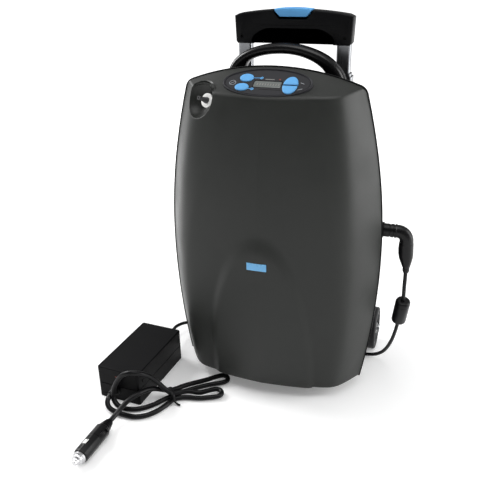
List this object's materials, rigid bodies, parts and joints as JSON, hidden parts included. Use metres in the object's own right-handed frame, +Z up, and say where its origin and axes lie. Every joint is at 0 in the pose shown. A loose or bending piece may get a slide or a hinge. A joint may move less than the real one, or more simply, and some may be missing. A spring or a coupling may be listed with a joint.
{
  "type": "oxygen concentrator",
  "caption": "Portable oxygen concentrator: tall rounded case with slanted control deck, carry handle, rear battery, wheeled cart with telescopic pull handle, and vehicle power adapter.",
  "frame": {"origin": "middle of the footprint of the concentrator on its cart, on the floor", "axes": "+Z up, front with the control deck faces -Y, +X to the right seen from the front"},
  "size_m": [0.4323, 0.4391, 0.537],
  "materials": {
    "case_grey": "satin moulded, fine grain",
    "case_black": "satin moulded",
    "gloss_black": "semi-gloss",
    "panel_charcoal": "satin overlay",
    "button_blue": "satin",
    "screen": "glossy window",
    "outlet_white": "gloss",
    "outlet_grey": "satin",
    "lens_blue": "gloss, translucent",
    "tube_metal": "bright anodised",
    "wheel_grey": "gloss",
    "tyre_rubber": "matt",
    "steel": "bright",
    "rubber": "matt",
    "casting": "cast, bead blasted",
    "copper_pipe": "drawn copper",
    "board_green": "solder mask",
    "foam": "open cell foam",
    "white_plastic": "moulded",
    "lead_black": "satin PVC",
    "battery_black": "satin",
    "cell_sleeve": "shrink sleeve"
  },
  "bodies": {
    "unit": {"front_shell": "case_grey", "control_panel": "panel_charcoal", "display_window": "screen", "outlet_collar": "outlet_white", "outlet_nozzle": "outlet_grey", "breath_lens": "lens_blue", "rear_shell": "case_black", "parting_rim": "case_black", "intake_filter": "foam", "exhaust_grille": "case_black", "power_inlet": "case_black", "carry_handle": "gloss_black", "case_screws": "steel", "chassis": "white_plastic", "crankcase": "casting", "compressor_motor": "casting", "cylinder_heads": "casting", "isolation_mounts": "rubber", "sieve_columns": "casting", "sieve_manifolds": "white_plastic", "valve_motor": "steel", "product_tank": "white_plastic", "cooling_coil": "copper_pipe", "fan_frame": "case_black", "main_board": "board_green", "dispensing_valve": "white_plastic", "battery_connector": "white_plastic", "oxygen_tube": "white_plastic", "cart_frame": "case_black", "outer_tubes": "tube_metal", "wheel_axles": "steel", "cart_feet": "rubber", "power_plug": "lead_black", "output_lead": "lead_black", "ferrite": "lead_black", "adapter": "case_black", "input_lead_hank": "lead_black", "cable_tie": "lead_black", "lighter_plug": "gloss_black", "lighter_nose": "steel"},
    "wheel_left": {"wheel_hub_left": "wheel_grey", "wheel_tyre_left": "tyre_rubber"},
    "wheel_right": {"wheel_hub_right": "wheel_grey", "wheel_tyre_right": "tyre_rubber"},
    "handle_middle": {"middle_tubes": "tube_metal"},
    "handle_grip": {"inner_tubes": "tube_metal", "pull_grip": "gloss_black"},
    "grip_release": {"grip_button": "button_blue"},
    "power_key": {"power_button": "button_blue"},
    "mode_key": {"mode_button": "button_blue"},
    "plus_key": {"plus_button": "button_blue"},
    "minus_key": {"minus_button": "button_blue"},
    "battery": {"battery_case": "battery_black", "battery_cells": "cell_sleeve", "battery_face": "case_grey"},
    "latch": {"battery_latch": "button_blue"},
    "filter_door": {"filter_cover": "case_black"},
    "fan": {"fan_rotor": "case_black"},
    "compressor_shaft": {"crankshaft": "steel"},
    "valve": {"valve_rotor": "white_plastic"}
  },
  "joints": [
    {"name": "left_wheel_spin", "type": "hinge", "parent": "unit", "child": "wheel_left", "pos_m": [-0.138, 0.082, 0.035], "axis": [1, 0, 0], "continuous": true},
    {"name": "right_wheel_spin", "type": "hinge", "parent": "unit", "child": "wheel_right", "pos_m": [0.138, 0.082, 0.035], "axis": [1, 0, 0], "continuous": true},
    {"name": "handle_lower_slide", "type": "slide", "parent": "unit", "child": "handle_middle", "axis": [0, 0, 1], "range_m": [0, 0.19]},
    {"name": "handle_upper_slide", "type": "slide", "parent": "handle_middle", "child": "handle_grip", "axis": [0, 0, 1], "range_m": [0, 0.19]},
    {"name": "grip_button_press", "type": "slide", "parent": "handle_grip", "child": "grip_release", "axis": [0, 0, -1], "range_m": [0, 0.003], "stiffness_N_per_m": 1200},
    {"name": "power_button_press", "type": "slide", "parent": "unit", "child": "power_key", "axis": [0, 0.4695, -0.8829], "range_m": [0, 0.0006], "stiffness_N_per_m": 600},
    {"name": "mode_button_press", "type": "slide", "parent": "unit", "child": "mode_key", "axis": [0, 0.4695, -0.8829], "range_m": [0, 0.0006], "stiffness_N_per_m": 600},
    {"name": "plus_button_press", "type": "slide", "parent": "unit", "child": "plus_key", "axis": [0, 0.4695, -0.8829], "range_m": [0, 0.0006], "stiffness_N_per_m": 600},
    {"name": "minus_button_press", "type": "slide", "parent": "unit", "child": "minus_key", "axis": [0, 0.4695, -0.8829], "range_m": [0, 0.0006], "stiffness_N_per_m": 600},
    {"name": "battery_pull_out", "type": "slide", "parent": "unit", "child": "battery", "axis": [0, 1, 0], "range_m": [0, 0.11]},
    {"name": "latch_lift", "type": "slide", "parent": "battery", "child": "latch", "axis": [0, 0, 1], "range_m": [0, 0.004], "stiffness_N_per_m": 900},
    {"name": "filter_cover_pull", "type": "slide", "parent": "unit", "child": "filter_door", "axis": [0, 1, 0], "range_m": [0, 0.03]},
    {"name": "fan_spin", "type": "hinge", "parent": "unit", "child": "fan", "pos_m": [-0.052, -0.005, 0.27], "axis": [0, 1, 0], "continuous": true},
    {"name": "compressor_shaft_spin", "type": "hinge", "parent": "unit", "child": "compressor_shaft", "pos_m": [-0.052, -0.021, 0.158], "axis": [1, 0, 0], "continuous": true},
    {"name": "valve_spin", "type": "hinge", "parent": "unit", "child": "valve", "pos_m": [0.084, -0.021, 0.125], "axis": [0, 0, 1], "continuous": true}
  ]
}
